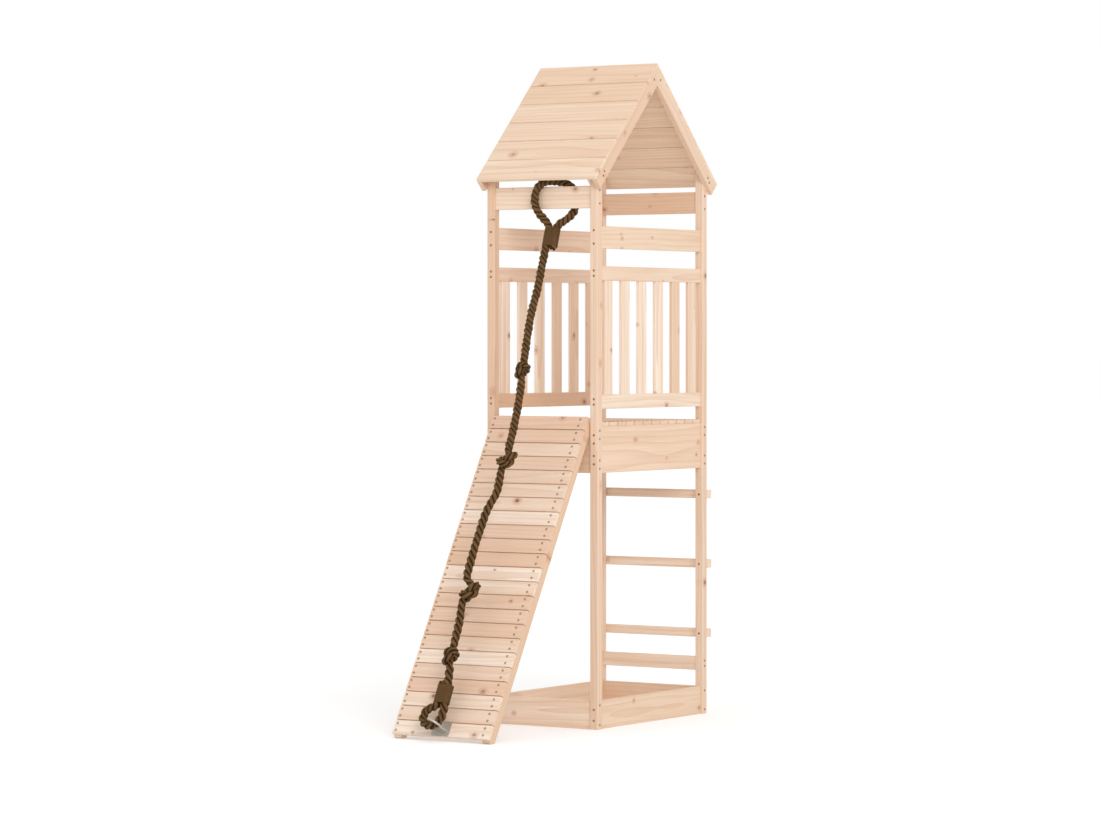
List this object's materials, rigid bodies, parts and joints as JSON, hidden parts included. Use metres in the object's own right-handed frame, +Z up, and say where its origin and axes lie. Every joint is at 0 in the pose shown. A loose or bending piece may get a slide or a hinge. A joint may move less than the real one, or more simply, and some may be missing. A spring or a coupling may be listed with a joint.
{
  "type": "wooden climbing frame",
  "caption": "Slim pine play tower with a gable roof, a railed platform, a rung ladder behind and a slatted climbing ramp in front with a knotted rope along it.",
  "frame": {"origin": "on the floor at the middle of the frame's outline: midway between the posts across, and midway between the rear eave and the foremost point of the rope's anchor bow", "axes": "+Z up; +X to the right when facing the ramp's front; -Y is the front, where the ramp comes down; +Y is the back, with the ladder"},
  "size_m": [0.446, 1.3264, 2.1054],
  "materials": {
    "pine": "planed softwood with eased edges, bare and matt",
    "rope": "three-strand twisted rope, dark brown",
    "sleeve": "moulded brown plastic, matt",
    "zinc_steel": "bright zinc plating"
  },
  "bodies": {
    "root": {"front_right_post": "pine", "front_left_post": "pine", "rear_right_post": "pine", "rear_left_post": "pine", "front_top_board": "pine", "rear_top_board": "pine", "right_upper_board": "pine", "left_upper_board": "pine", "right_top_rail": "pine", "right_bottom_rail": "pine", "left_top_rail": "pine", "left_bottom_rail": "pine", "right_railing_slats": "pine", "left_railing_slats": "pine", "front_skirt": "pine", "rear_skirt": "pine", "right_skirt": "pine", "left_skirt": "pine", "deck_boards": "pine", "front_bottom_board": "pine", "rear_bottom_board": "pine", "right_bottom_board": "pine", "left_bottom_board": "pine", "rear_lower_board": "pine", "rung_1": "pine", "rung_2": "pine", "rung_3": "pine", "right_front_rafter": "pine", "right_rear_rafter": "pine", "left_front_rafter": "pine", "left_rear_rafter": "pine", "roof_front_board_1": "pine", "roof_front_board_2": "pine", "roof_front_board_3": "pine", "roof_front_board_4": "pine", "roof_front_board_5": "pine", "roof_front_board_6": "pine", "roof_rear_board_1": "pine", "roof_rear_board_2": "pine", "roof_rear_board_3": "pine", "roof_rear_board_4": "pine", "roof_rear_board_5": "pine", "roof_rear_board_6": "pine", "ramp_right_stringer": "pine", "ramp_left_stringer": "pine", "ramp_slats": "pine", "climbing_rope": "rope", "rope_top_eye": "rope", "rope_bottom_eye": "rope", "rope_top_sleeve": "sleeve", "rope_bottom_sleeve": "sleeve", "anchor_plate": "zinc_steel", "anchor_bow": "zinc_steel", "anchor_screws": "zinc_steel", "frame_screws": "zinc_steel", "rung_screws": "zinc_steel", "rafter_screws": "zinc_steel", "ramp_screws": "zinc_steel"}
  },
  "joints": []
}
